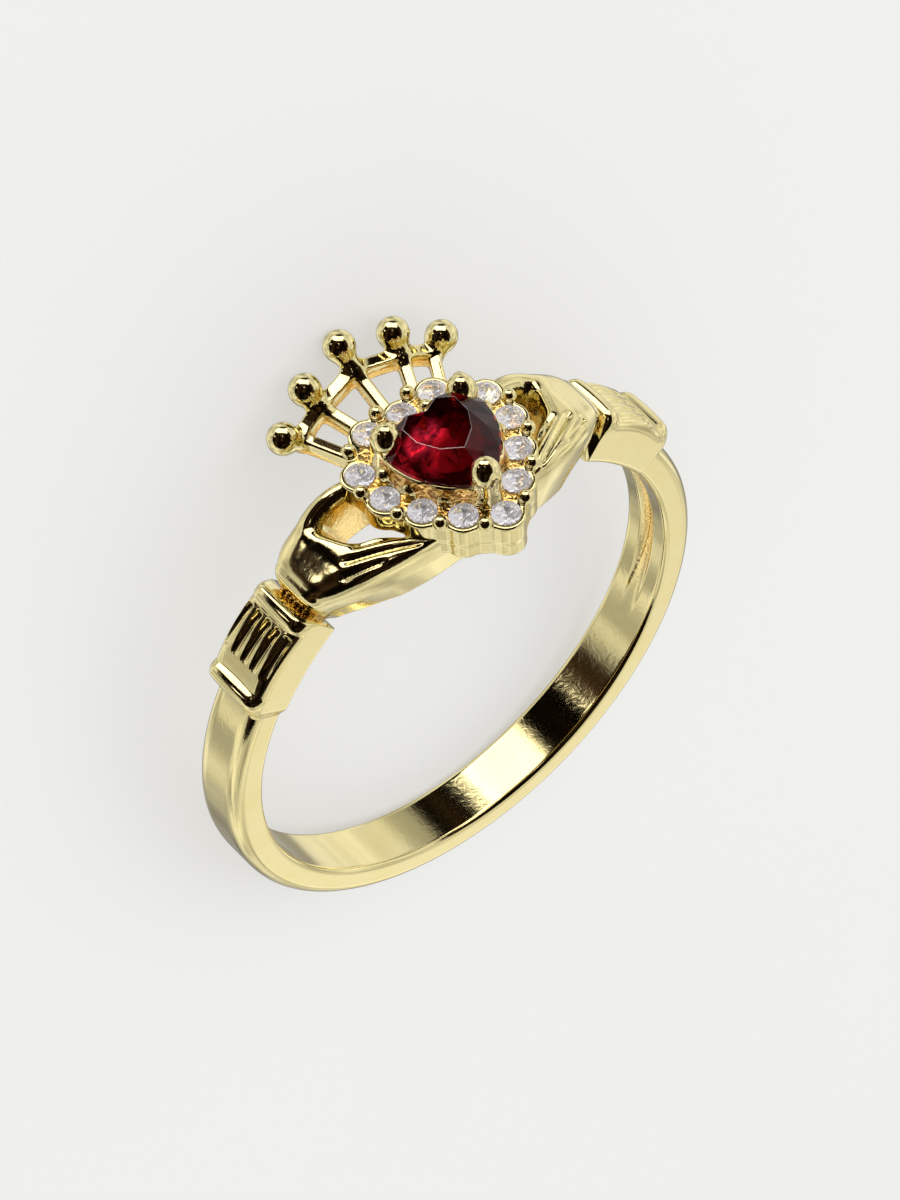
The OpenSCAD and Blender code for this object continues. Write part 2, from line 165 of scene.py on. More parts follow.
def tent_finish():
    """The tent's light. Places on it are given along the picture's right, up and back, from the
    tent's middle, where its radius is 1."""
    material, output, wire = blank("tent cloth")
    place = wire.add("ShaderNodeNewGeometry", out=0)
    ray = wire.add("ShaderNodeVectorMath", {"operation": "NORMALIZE"}, {0: place})
    waves = wire.add("ShaderNodeTexNoise", None, {"Vector": ray, "Scale": WAVES, "Detail": 1.0}, out=1)
    ray = wire.add("ShaderNodeVectorMath", {"operation": "MULTIPLY_ADD"},
                   {0: waves, 1: (SWAY, SWAY, SWAY), 2: ray})
    ray = wire.add("ShaderNodeVectorMath", {"operation": "SUBTRACT"},
                   {0: ray, 1: (SWAY / 2, SWAY / 2, SWAY / 2)})
    right, up, back = [ray.dot(to_frame @ np.array(v)) for v in (RIGHT, UP, BACK)]
    drape = wire.add("ShaderNodeTexNoise", None, {"Vector": ray, "Scale": FOLDS, "Detail": 3.0})
    things = wire.add("ShaderNodeTexNoise", None, {"Vector": ray, "Scale": CLUTTER, "Detail": 2.0})
    room = (back - 0.1 * right - 0.1 * up).step(0.33, 0.42)
    lintel = up.step(0.91, 0.95) * back.step(0.0, 0.1)
    window = (up.within(0.56, 0.62, 0.89, 0.93) * right.within(-0.70, -0.58, 0.36, 0.46)
              * back.step(0.15, 0.25))
    near_lamp = (up.within(0.22, 0.24, 0.30, 0.32) * right.within(-0.12, -0.10, 0.0, 0.02)
                 * back.step(0.5, 0.6))
    side_lamp = (up.within(0.18, 0.20, 0.28, 0.30) * right.within(-0.86, -0.84, -0.77, -0.75)
                 * back.step(0.3, 0.4))
    far_side = (-1 * back).step(0.72, 0.93)
    dark = wire.math("MAXIMUM", room, lintel)
    inside = things.step(0.45, 0.8).mix(ROOM, ROOM_LIT)
    bright = wire.math("MINIMUM", window + near_lamp + side_lamp, 1.0)
    colour = bright.mix(dark.mix(CLOTH, inside), WINDOW)
    cloth = CLOTH_LIGHT + drape.step(0.18, 0.82) * DRAPE_LIGHT * (1 - dark)
    strength = cloth * (1 - FAR_DIM * far_side) + bright * WINDOW_LIGHT
    glow = wire.add("ShaderNodeEmission", None, {"Color": colour, "Strength": strength})
    wire.tree.links.new(glow.socket, output.inputs["Surface"])
    return material


bpy.ops.mesh.primitive_uv_sphere_add(segments=48, ring_count=24, radius=TENT_R)
tent = bpy.context.object
tent.name = "tent"
tent.data.materials.append(tent_finish())
for rays in ("camera", "diffuse", "shadow", "volume_scatter"):
    setattr(tent, "visible_" + rays, False)

FLOOR_SIDE, FLOOR_ROUGH, FLOOR_GRAIN, FLOOR_SHADE = 1.0, 0.7, 40.0, 0.97
FLOOR_COLOUR, FLOOR_LIT, FLOOR_GLOW = (0.42, 0.42, 0.415), (1.0, 1.0, 0.985, 1), 0.41
floor_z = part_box("casting")[0].z
bpy.ops.mesh.primitive_plane_add(size=FLOOR_SIDE, location=(0, 0, floor_z))
floor = bpy.context.object
floor.name = "floor"
floor.visible_glossy = False
material, output, wire = blank("pale floor")
grain = wire.add("ShaderNodeTexNoise", None, {"Scale": FLOOR_GRAIN, "Detail": 3.0})
paint = wire.add("ShaderNodeBsdfPrincipled", None, {
    "Base Color": grain.mix(FLOOR_COLOUR, tuple(FLOOR_SHADE * c for c in FLOOR_COLOUR)),
    "Roughness": FLOOR_ROUGH, "Emission Color": FLOOR_LIT, "Emission Strength": FLOOR_GLOW})
wire.tree.links.new(paint.socket, output.inputs["Surface"])
floor.data.materials.append(material)

DAYLIGHT, DAYLIGHT_POWER = (1.0, 0.995, 0.985, 1), 0.92
bpy.context.scene.view_settings.view_transform = "Standard"
world = bpy.data.worlds.new("daylight")
bpy.context.scene.world = world
world.use_nodes = True
world.node_tree.nodes["Background"].inputs["Color"].default_value = DAYLIGHT
world.node_tree.nodes["Background"].inputs["Strength"].default_value = DAYLIGHT_POWER

SOFT_WAY, SOFT_FAR, SOFT_SIDE, SOFT_POWER = (0.2, -0.75, 0.6), 0.35, 0.5, 0.35
soft_light = bpy.data.objects.new("soft light", bpy.data.lights.new("soft light", "AREA"))
bpy.context.scene.collection.objects.link(soft_light)
soft_light.data.size = SOFT_SIDE
soft_light.data.energy = SOFT_POWER
way = Vector(to_frame @ np.array(SOFT_WAY)).normalized()
soft_light.location = way * SOFT_FAR
soft_light.rotation_euler = way.to_track_quat("Z", "Y").to_euler()
soft_light.visible_glossy = False

# Band
# A slim cast band of polished gold, its outer face flat with soft edges. Inside each shoulder
# a hollow run saves metal. It runs on under the cuffs, which are cast with it. Angles are in
# degrees round the finger, from the middle of the head.
BAND_GAIN, BAND_TUCK = 0.1, 3
BAND_ROWS, BAND_AROUND = 320, 120
INNER_CORNER, ARC_STEPS = 0.18, 13
FLANK_FROM, FLANK_TO = 0.5, 0.9
BEVEL_FROM, BEVEL_DROP = 0.5, 0.07
HOLLOW_W, HOLLOW_T, HOLLOW_SHADE = 0.62, 0.32, 0.55
HOLLOW_FROM, HOLLOW_TO, HOLLOW_START, HOLLOW_RUNOUT = 45.5, 121, 5, 32
CUFF_FROM, CUFF_TO = 37.5, 62.0
GOLD, GOLD_WARM = (0.82, 0.74, 0.42), (0.78, 0.67, 0.30)
GOLD_DEEP, GOLD_SHADE = (0.95, 0.64, 0.20), (0.34, 0.15, 0.03)
POLISH, CLOUD_ROUGH, RECESS_ROUGH = 0.06, 0.05, 0.14
CLOUDS, GRAINS, SCRATCHES = 900.0, 6500.0, 2600.0
BUMP_HEIGHT, SCRATCH_SHARE, GRAIN_SHARE = 0.00006, 0.10, 2.0


def gold_finish():
    """Polished gold, and the unpolished gold of the recesses that the attribute marks, painted with shade:
    orange, and dark brown in grains where the mark is strongest.
    """
    material, output, wire = blank("polished gold")
    place = wire.add("ShaderNodeTexCoord", out=3)
    rough_and_shade = wire.add("ShaderNodeAttribute", {"attribute_name": "rough_and_shade"}, out=2)
    cloud = wire.add("ShaderNodeTexNoise", None, {"Vector": place, "Scale": CLOUDS, "Detail": 4.0})
    grain = wire.add("ShaderNodeTexNoise", None, {"Vector": place, "Scale": GRAINS, "Detail": 2.0})
    scratch = wire.add("ShaderNodeTexNoise", None,
                       {"Vector": place, "Scale": SCRATCHES, "Detail": 6.0, "Distortion": 2.0})
    polished = cloud.mix(GOLD, GOLD_WARM)
    # Painted shade: orange where the recess mark is set, dark brown in grains where it is strongest
    unpolished_and_shade = ((1 - grain.step(0.42, 0.56)) * rough_and_shade.step(0.5, 1.0)).mix(GOLD_DEEP, GOLD_SHADE)
    rough = POLISH + cloud * CLOUD_ROUGH + rough_and_shade * RECESS_ROUGH
    bump = wire.add("ShaderNodeBump", None, {
        "Strength": 0.5, "Distance": BUMP_HEIGHT,
        "Height": scratch * SCRATCH_SHARE + rough_and_shade * grain * GRAIN_SHARE})
    metal = wire.add("ShaderNodeBsdfPrincipled", None, {
        "Base Color": rough_and_shade.step(0.0, 0.6).mix(polished, unpolished_and_shade), "Roughness": rough,
        "Metallic": 1.0, "Normal": bump})
    wire.tree.links.new(metal.socket, output.inputs["Surface"])
    return material


gold = gold_finish()


def put(name, points, faces, material, slot, *nodes, rough_and_shade=None):
    """A piece from points in ring axes, set in the frame, riding on the ring's one body."""
    mesh = bpy.data.meshes.new(name)
    mesh.from_pydata((np.asarray(points) @ to_frame.T * MM).tolist(), [], faces)
    mesh.validate()
    mesh.shade_smooth()
    mesh.materials.append(material)
    if rough_and_shade is not None:
        mesh.attributes.new("rough_and_shade", "FLOAT", "POINT").data.foreach_set(
            "value", np.asarray(rough_and_shade, np.float32).ravel())
    thing = bpy.data.objects.new(name, mesh)
    bpy.context.scene.collection.objects.link(thing)
    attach(thing, "root")
    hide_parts(*nodes)
    return thing


def loft(sections):
    """Points and faces of closed sections joined in turn, with a cap on each end."""
    rows, around = sections.shape[:2]
    at = np.arange(rows * around).reshape(rows, around)
    a, b = at[:-1], at[1:]
    quads = np.stack([a, b, np.roll(b, -1, 1), np.roll(a, -1, 1)], -1).reshape(-1, 4)
    return sections.reshape(-1, 3), [*quads.tolist(), at[0].tolist(), at[-1][::-1].tolist()]


def smooth_step(value, low, high):
    """0 under low, 1 over high, smooth between."""
    t = np.clip((value - low) / (high - low), 0, 1)
    return t * t * (3 - 2 * t)


def wall_outline(width, thick, corner, inner, count):
    """[radius, y] round a wall's section, evenly spaced: bore side, edge, outer face, edge."""
    low, high = FINGER_R, FINGER_R + thick
    arcs = [(low + inner, width / 2 - inner, inner, 180, 90),
            (high - corner, width / 2 - corner, corner, 90, 0),
            (high - corner, corner - width / 2, corner, 0, -90),
            (low + inner, inner - width / 2, inner, -90, -180)]
    path = []
    for r, y, radius, start, end in arcs:
        turn = np.radians(np.linspace(start, end, ARC_STEPS))
        path.append(np.stack([r + radius * np.cos(turn), y + radius * np.sin(turn)], 1))
    path = np.concatenate([*path, path[0][:1]])
    run = np.concatenate([[0], np.cumsum(np.linalg.norm(np.diff(path, axis=0), axis=1))])
    even = np.linspace(0, run[-1], count, endpoint=False)
    return np.stack([np.interp(even, run, path[:, i]) for i in (0, 1)], 1)


def round_finger(radius, angle, y):
    """Points in ring axes from a radius, an angle from the head in degrees and a y."""
    turn = np.radians(angle)
    return np.stack(np.broadcast_arrays(radius * np.sin(turn), y, radius * np.cos(turn)), -1)


def hollowed(r, y, from_head):
    """The bore side of a wall sunk along the hollow, and how deep in the hollow each point lies."""
    ends = smooth_step(from_head, HOLLOW_FROM, HOLLOW_FROM + HOLLOW_START) * (
        1 - smooth_step(from_head, HOLLOW_TO - HOLLOW_RUNOUT, HOLLOW_TO))
    across = np.clip(1 - (y / (HOLLOW_W / 2)) ** 2, 0, 1) ** 0.5
    depth = ends * across * (1 - smooth_step(r, FINGER_R + 0.1, FINGER_R + 0.2))
    return r + HOLLOW_T * depth, depth


def band_sections():
    """Rows of points along the band, a little thicker at the sides, and how rough and painted with shade
    each point is.
    """
    rows, rough_and_shade = [], []
    start = CUFF_FROM + BAND_TUCK
    for angle in np.linspace(start, 360 - start, BAND_ROWS):
        turn = np.radians(angle)
        gain = BAND_GAIN * (1 + math.cos(turn)) / 2 + BAND_GAIN * abs(math.sin(turn)) / 2
        r, y = wall_outline(BAND_W, BAND_T + gain, BAND_CORNER, INNER_CORNER, BAND_AROUND).T
        outside = smooth_step(r, FINGER_R + FLANK_FROM, FINGER_R + FLANK_TO)
        r = r - BEVEL_DROP * outside * smooth_step(abs(y), BEVEL_FROM, BAND_W / 2)
        r, depth = hollowed(r, y, min(angle, 360 - angle))
        rows.append(round_finger(r, angle, y))
        # The hollow is left rough and painted with shade, more where it is deeper
        rough_and_shade.append(HOLLOW_SHADE * depth)
    return np.array(rows), np.array(rough_and_shade)


sections, rough_and_shade = band_sections()
put("band", *loft(sections), gold, "gold", "casting", rough_and_shade=rough_and_shade)

# Cuffs
# A sleeve at each shoulder, of polished gold and cast with the band: a convex rim at either
# end and five grooves between them, which run out towards the far rim.
CUFF_W, CUFF_T, CUFF_CORNER, CUFF_ROWS, CUFF_AROUND = 2.5, 1.70, 0.44, 170, 260
CUFF_BULGE, BULGE_AT, BULGE_HALF = 0.10, 47.5, 8
END_ROUND, END_SHARE, SLEEVE_TUCK = 1.6, 0.72, 0.02
NEAR_RIM, FAR_RIM, FAR_EDGE = 39.6, 57.4, 1.2
RIM_RISE, RIM_HALF, FAR_RIM_SHARE, RIM_EDGE_SHARE = 0.24, 2.4, 0.9, 0.3
TOP_FROM, TOP_TO = 0.75, 0.3
GROOVES, GROOVE_PITCH, GROOVE_W, GROOVE_T = 5, 0.48, 0.37, 0.27
GROOVE_FROM, GROOVE_TO, GROOVE_START, GROOVE_END = 42.2, 52.2, 0.8, 0.9
GROOVE_FAR_SHARE, GROOVE_WAIST = 0.22, 0.8


def cuff_sections(side):
    """Rows of points along the cuff of one side, -1 or 1, and how rough and painted with shade each point
    is.
    """
    rows, rough_and_shade = [], []
    for angle in np.linspace(CUFF_FROM, CUFF_TO, CUFF_ROWS):
        fall = smooth_step(angle, FAR_RIM + FAR_EDGE, CUFF_TO)
        end = max(1 - (angle - CUFF_FROM) / END_ROUND, 0)
        bulge = CUFF_BULGE * max(1 - ((angle - BULGE_AT) / BULGE_HALF) ** 2, 0)
        thick = (CUFF_T + bulge) * (1 - fall) + (BAND_T + BAND_GAIN - SLEEVE_TUCK) * fall
        thick = thick * (END_SHARE + (1 - END_SHARE) * math.sqrt(1 - end * end))
        width = CUFF_W * (1 - fall) + (BAND_W - SLEEVE_TUCK) * fall
        corner = CUFF_CORNER * (1 - fall) + BAND_CORNER * fall
        r, y = wall_outline(width, thick, corner, INNER_CORNER, CUFF_AROUND).T
        top = smooth_step(r, FINGER_R + thick - TOP_FROM, FINGER_R + thick - TOP_TO)
        lens = np.sqrt(1 - np.clip(abs(y) / (width / 2), 0, 1) ** 2)
        rise = RIM_RISE * top * (RIM_EDGE_SHARE + (1 - RIM_EDGE_SHARE) * lens) * (1 - fall)
        for rim, half in ((NEAR_RIM, RIM_HALF), (FAR_RIM, FAR_RIM_SHARE * RIM_HALF)):
            r = r + rise * np.clip(1 - ((angle - rim) / (half * (1 + lens) / 2)) ** 2, 0, 1)
        deep = (smooth_step(angle, GROOVE_FROM, GROOVE_FROM + GROOVE_START)
                * (1 - smooth_step(angle, GROOVE_TO - GROOVE_END, GROOVE_TO))
                * np.interp(angle, (GROOVE_FROM, GROOVE_TO), (1, GROOVE_FAR_SHARE)))
        nearest = np.round(np.clip(y / GROOVE_PITCH, -(GROOVES // 2), GROOVES // 2))
        half = GROOVE_W / 2 * (GROOVE_WAIST + (1 - GROOVE_WAIST) * deep)
        off = (y - nearest * GROOVE_PITCH) / half
        r = r - GROOVE_T * top * deep * np.clip(1 - off**2, 0, 1)
        r, depth = hollowed(r, y, angle)
        rows.append(round_finger(r, side * angle, y))
        # The hollow is left rough and painted with shade, more where it is deeper
        rough_and_shade.append(HOLLOW_SHADE * depth)
    return np.array(rows)[::side], np.array(rough_and_shade)[::side]


for side, name in ((-1, "left"), (1, "right")):
    sections, rough_and_shade = cuff_sections(side)
    put("cuff_" + name, *loft(sections), gold, "gold", "casting", rough_and_shade=rough_and_shade)

# Hands
# Two gold hands reach from the cuffs to the heart, cast with them: each a palm with carved
# finger lines and a thumb on the crown's side, open between the two. They are polished, and
# left crumpled and rough at the wrist, which is painted with shade.
HAND_LOW, HAND_HIGH, HAND_T = 2.9, 1.5, 2.35
PALM_ROUND, THUMB_ROUND, SIDE_SHARE, FOOT_SHARE, SINK = 4.0, 2.2, 0.5, 0.8, 0.6
HAND_FILLET, BORE_EDGE = 0.35, 0.12

# Sections from the cuff to the halo: share of the cuff's angle, of HAND_LOW, of HAND_HIGH
# and of HAND_T
PALM = [
    (1.04, -0.28, 0.50, 0.52), (0.985, -0.29, 0.52, 0.60), (0.95, -0.38, 0.62, 0.82),
    (0.89, -0.47, 0.74, 0.91), (0.79, -0.62, 0.86, 0.96), (0.69, -0.74, 0.60, 1.00),
    (0.60, -0.82, -0.36, 0.98), (0.49, -0.89, -0.76, 0.94), (0.39, -0.93, -1.12, 0.88),
    (0.28, -0.95, -1.38, 0.80), (0.10, -0.97, -1.55, 0.72), (-0.06, -0.975, -1.60, 0.69),
]
THUMB = [
    (0.92, -0.05, 0.56, 0.60), (0.82, 0.00, 0.80, 0.82), (0.72, 0.06, 0.95, 0.95),
    (0.62, 0.17, 1.00, 1.01), (0.51, 0.17, 0.97, 1.04), (0.40, 0.12, 0.86, 1.00),
    (0.26, -0.10, 0.62, 0.90),
]
# Finger lines: angle and y at the palm and at the fingertips, half width, depth
FINGER_LINES = [
    ((23.2, -0.92), (9.0, -2.48), 0.24, 0.20),
    ((26.2, -1.08), (12.5, -2.60), 0.27, 0.24),
    ((28.4, -1.40), (19.8, -2.22), 0.28, 0.22),
]
LINE_R, LINE_START, LINE_TAPER, LINE_FADE = 10.7, 0.14, 0.4, 0.3


def lattice(low, high, step):
    """Open grids of x, y and z over a box in ring axes."""
    counts = [int(math.ceil((b - a) / step)) + 1 for a, b in zip(low, high)]
    lines = [a + step * np.arange(n, dtype=np.float32) for a, n in zip(low, counts)]
    return np.ix_(*lines)


def merged(a, b, fillet):
    """The nearer of two distances, with a fillet where the forms meet."""
    h = np.clip(0.5 + 0.5 * (b - a) / fillet, 0, 1)
    return b + (a - b) * h - fillet * h * (1 - h)


def carved(a, tool, fillet):
    """Distance to form a with the tool's form cut away."""
    return -merged(-a, tool, fillet)


def rod(x, y, z, start, end, r0, r1=None):
    """Distance to a round rod with round ends, its radius going from r0 to r1."""
    start, way = np.array(start, float), np.array(end, float) - np.array(start, float)
    p = [q - s for q, s in zip((x, y, z), start)]
    t = np.clip(sum(a * b for a, b in zip(p, way)) / (way @ way), 0, 1)
    gap = np.sqrt(sum((a - t * b) ** 2 for a, b in zip(p, way)))
    return gap - (r0 if r1 is None else r0 + (r1 - r0) * t)


def eased(table, column, at):
    """A column of a table of sections at any place, by smooth cubic steps."""
    rows = np.array(sorted(table))
    x, y = rows[:, 0], rows[:, column]
    slope = np.gradient(y, x)
    i = np.clip(np.searchsorted(x, at) - 1, 0, len(x) - 2)
    h = x[i + 1] - x[i]
    t = np.clip((at - x[i]) / h, 0, 1)
    return ((2 * t**3 - 3 * t**2 + 1) * y[i] + (t**3 - 2 * t**2 + t) * h * slope[i]
            + (3 * t**2 - 2 * t**3) * y[i + 1] + (t**3 - t**2) * h * slope[i + 1])


def limb(table, roundness, x, y, z, step):
    """Distance to a limb swept round the finger through a table of sections."""
    radius = np.hypot(x, z)
    angle = np.degrees(np.arctan2(x, z))
    along = angle / CUFF_FROM
    low, high = eased(table, 1, along) * HAND_LOW, eased(table, 2, along) * HAND_HIGH
    thick = eased(table, 3, along) * HAND_T
    shoulder = FINGER_R + thick * SIDE_SHARE
    lean = np.clip((radius - FINGER_R + SINK) / (shoulder - FINGER_R + SINK), 0, 1)
    half = (high - low) / 2 * (FOOT_SHARE + (1 - FOOT_SHARE) * lean)
    up = np.clip((radius - shoulder) / (thick * (1 - SIDE_SHARE)), 0, None)
    form = (abs((y - (low + high) / 2) / half) ** roundness + up**roundness) ** (1 / roundness) - 1
    steep = np.sqrt(sum(g * g for g in np.gradient(form, step)))
    form = form / np.maximum(steep, 0.2)
    ends = [np.radians(s * (angle - row[0] * CUFF_FROM)) * radius
            for s, row in ((1, table[0]), (-1, table[-1]))]
    return np.maximum(form, np.maximum(*ends))


def sample(field, place):
    """A field's value at places given in steps from its corner."""
    base = np.clip(np.floor(place).astype(int), 0, np.array(field.shape) - 2)
    f = place - base
    total = 0
    for i, j, k in np.ndindex(2, 2, 2):
        weight = np.prod([f[:, n] if up else 1 - f[:, n] for n, up in enumerate((i, j, k))], axis=0)
        total = total + weight * field[base[:, 0] + i, base[:, 1] + j, base[:, 2] + k]
    return total


def skin(field, low, step):
    """Points and faces of a form's surface, from a field of its half at x over 0: mirrored,
    a point set in each cell that the surface crosses and a face round each edge that it
    crosses, and the points then drawn onto the surface."""
    field = np.concatenate([field[:0:-1], field])
    low = np.array([-(field.shape[0] // 2) * step, low[1], low[2]])
    inside = field < 0
    n = np.array(field.shape) - 1
    corners = np.array(list(np.ndindex(2, 2, 2)))
    count = sum(inside[i:i + n[0], j:j + n[1], k:k + n[2]].astype(np.uint8) for i, j, k in corners)
    cells = np.argwhere((count > 0) & (count < 8))
    index = np.full(n, -1)
    index[tuple(cells.T)] = np.arange(len(cells))
    value = np.stack([field[tuple((cells + c).T)] for c in corners], 1)
    total, hits = np.zeros((len(cells), 3)), np.zeros(len(cells))
    for a, corner in enumerate(corners):
        for axis in range(3):
            if corner[axis]:
                continue
            va, vb = value[:, a], value[:, a + (4, 2, 1)[axis]]
            crossed = (va < 0) != (vb < 0)
            t = np.where(crossed, va / np.where(crossed, va - vb, 1), 0)
            total += crossed[:, None] * (corner + t[:, None] * np.eye(3)[axis])
            hits += crossed
    place = cells + total / hits[:, None]
    for _ in range(2):
        slope = np.stack([sample(field, place + 0.5 * e) - sample(field, place - 0.5 * e)
                          for e in np.eye(3)], 1)
        gap = sample(field, place) / np.maximum((slope**2).sum(1), 0.2 * step**2)
        place = place - np.clip(gap[:, None] * slope, -0.5, 0.5)
    faces = []
    for axis in range(3):
        u, v = np.eye(3, dtype=int)[(axis + 1) % 3], np.eye(3, dtype=int)[(axis + 2) % 3]
        near = [slice(0, -1) if i == axis else slice(1, -1) for i in range(3)]
        far = [slice(1, None) if i == axis else slice(1, -1) for i in range(3)]
        edges = np.argwhere(inside[tuple(near)] != inside[tuple(far)]) + u + v
        out = inside[tuple(edges.T)]
        quad = np.stack([index[tuple((edges - s).T)] for s in (u + v, v, 0 * u, u)], 1)
        faces.append(np.where(out[:, None], quad, quad[:, ::-1]))
    return place * step + low, np.concatenate(faces).tolist()


def hands_field(x, y, z, step):
    """Distance to the hand of one side, its finger lines carved and its underside on the bore."""
    form = merged(limb(PALM, PALM_ROUND, x, y, z, step),
                  limb(THUMB, THUMB_ROUND, x, y, z, step), HAND_FILLET)
    run = np.arctan2(x, z) * LINE_R
    outer = smooth_step(np.hypot(x, z), FINGER_R + 0.9, FINGER_R + 1.3)
    for (a0, y0), (a1, y1), half, depth in FINGER_LINES:
        s0, s1 = math.radians(a0) * LINE_R, math.radians(a1) * LINE_R
        t = ((run - s0) * (s1 - s0) + (y - y0) * (y1 - y0)) / ((s1 - s0) ** 2 + (y1 - y0) ** 2)
        fade = smooth_step(t, 0, LINE_START) * (1 - smooth_step(t, 0.8, 1)) * (1 - LINE_FADE * t)
        off = np.hypot(run - s0 - t * (s1 - s0), y - y0 - t * (y1 - y0)) / (half * (1 - LINE_TAPER * t))
        form = form + depth * fade * outer * np.clip(1 - np.sqrt(off**2 + 0.03), 0, 1) ** 2
    return carved(form, np.hypot(x, z) - FINGER_R + 0 * y, BORE_EDGE)


HAND_STEP = 0.05
HAND_BOX = ((0, -3.3, 6.3), (7.2, 2.1, 11.5))
x, y, z = lattice(*HAND_BOX, HAND_STEP)
points, faces = skin(hands_field(x, y, z, HAND_STEP), HAND_BOX[0], HAND_STEP)
turn = np.degrees(np.arctan2(abs(points[:, 0]), points[:, 2]))
radius = np.hypot(points[:, 0], points[:, 2])

# The rough wrist, and the less polished walls of the opening: its foot and the thumb's
# inside, all painted with shade, most at the wrist
WRIST_FROM, WRIST_TO, WRIST_SHADE, OPENING_SHADE = 35.9, 36.5, 0.8, 0.35
CRUMPLE, CRUMPLE_WAVES = 0.004, ((31, 7, 12), (-9, 27, 17), (13, -19, 29))
wrist = smooth_step(turn, WRIST_FROM, WRIST_TO)
foot = (turn < 25) * (abs(points[:, 1] + 0.5) < 1.5) * (1 - smooth_step(radius, 10.1, 10.4))
thumb = (turn < 21.5) * (abs(points[:, 1]) < 0.7) * (1 - smooth_step(radius, 10.6, 10.9))
crumple = sum(np.sin(points @ np.array(w)) for w in CRUMPLE_WAVES)
points = points * (1 + CRUMPLE * (wrist * crumple)[:, None])
put("hands", points, faces, gold, "gold", "casting",
    rough_and_shade=WRIST_SHADE * wrist + OPENING_SHADE * np.maximum(foot, thumb))

# Halo
# The gold setting: a heart-shaped plate with a seat for each small stone, the beads that hold
# them, a scalloped skirt under the point, the heart stone's cup and its three ball-topped claws.
# Cast with the hands, polished outside, left rough and painted with shade in the pocket round
# the cup.
HALO_W, HALO_H, HALO_LOW, HALO_T, SKIRT_T, HALO_WALL = 5.2, 5.45, 3.75, 0.85, 1.45, 0.13
STONE_D, STONE_GAP = 1.0, 0.03
HALO_TOP = HEAD_Z - 0.02
SEAT_R, SEAT_T = STONE_D / 2 + STONE_GAP, 0.6
BEAD_R, BEAD_INSET, BEAD_RISE, INNER_BEAD_RISE = 0.26, 0.05, 0.10, 0.24
POCKET_T, POCKET_SHARE = 0.5, 0.78
HEART_W, HEART_L, HEART_Z = 3.9, 3.85, HEAD_Z + 0.85
HEART_DEPTH, HEART_CROWN = 1.45, 0.62
CUP_OUT, CUP_LIP, CUP_FLARE, BED_TAPER = 0.05, 0.05, 0.16, 0.43
SKIRT_INSET, SKIRT_EDGE = 0.02, 0.1
HALO_FILLET, CLAW_FILLET, POCKET_EDGE, SEAM, SEAT_EDGE, CREASE = 0.08, 0.12, 0.06, 0.05, 0.04, 0.03
CLAW_R, CLAW_TALL, CLAW_RISE, CLAW_POST_R, CLAW_LEAN = 0.53, 1.35, 0.20, 0.48, 0.12
OPEN_BACK_R, OPEN_BACK_UP = 1.05, -0.2
LOBE_R, SIDE_R, LOBE_TOP = 0.28, 0.82, 0.22

# Small stones of one side: share of HALO_W / 2 across, share of HALO_H up from the lowest
SIDE_SEATS = [(0.42, 0.15), (0.76, 0.335), (0.99, 0.55), (1.00, 0.785), (0.52, 1.00)]
right_seats = [(a * HALO_W / 2, u * HALO_H - HALO_LOW) for a, u in SIDE_SEATS]
seats = np.array([(0, -HALO_LOW), *right_seats, (0, 0.985 * HALO_H - HALO_LOW),
                  *[(-a, b) for a, b in right_seats[::-1]]])
CLAWS = [(0.40, 0.10), (0, -0.72)]


def arc_points(cx, cy, r, start, end, count):
    """Points along an arc, from start to end in degrees, in count steps."""
    turn = np.radians(np.linspace(start, end, count + 1))
    return np.stack([cx + r * np.cos(turn), cy + r * np.sin(turn)], 1)


def heart(width, length, count):
    """A heart's outline, anticlockwise from the cleft, of four arcs of count steps each."""
    r, big = LOBE_R * width, SIDE_R * width
    centre = np.array([width / 2 - r, LOBE_TOP * length - r])
    tip = np.array([0, (LOBE_TOP - 1) * length])
    v = centre - tip
    q = (v @ v + (big - r) ** 2 - big * big) / (2 * (big - r))
    turn = math.degrees(math.atan2(v[1], v[0]) - math.acos(q / np.linalg.norm(v)))
    s = centre - (big - r) * np.array([math.cos(math.radians(turn)), math.sin(math.radians(turn))])
    end = math.degrees(math.atan2(tip[1] - s[1], tip[0] - s[0]))
    cleft = math.degrees(math.acos(-centre[0] / r))
    half = np.concatenate([arc_points(*centre, r, cleft, turn, count),
                           arc_points(*s, big, turn, end, count)[1:]])
    return np.concatenate([half * (-1, 1), half[-2:0:-1]])


def flat_distance(outline, x, y):
    """Distance in the plane to a closed outline, negative inside."""
    near, inside = np.full(np.broadcast(x, y).shape, 1e9), np.zeros(np.broadcast(x, y).shape, bool)
    for (ax, ay), (bx, by) in zip(outline, np.roll(outline, -1, 0)):
        dx, dy = bx - ax, by - ay
        t = np.clip(((x - ax) * dx + (y - ay) * dy) / (dx * dx + dy * dy), 0, 1)
        near = np.minimum(near, np.hypot(x - ax - t * dx, y - ay - t * dy))
        spans = (ay > y) != (by > y)
        inside ^= spans & (x < ax + (y - ay) / (dy if dy else 1e-9) * dx)
    return np.where(inside, -near, near)


def slab(flat, z, low, high, fillet):
    """A flat outline made solid between two heights, its edges rounded."""
    return -merged(-flat, -(abs(z - (low + high) / 2) - (high - low) / 2), fillet)


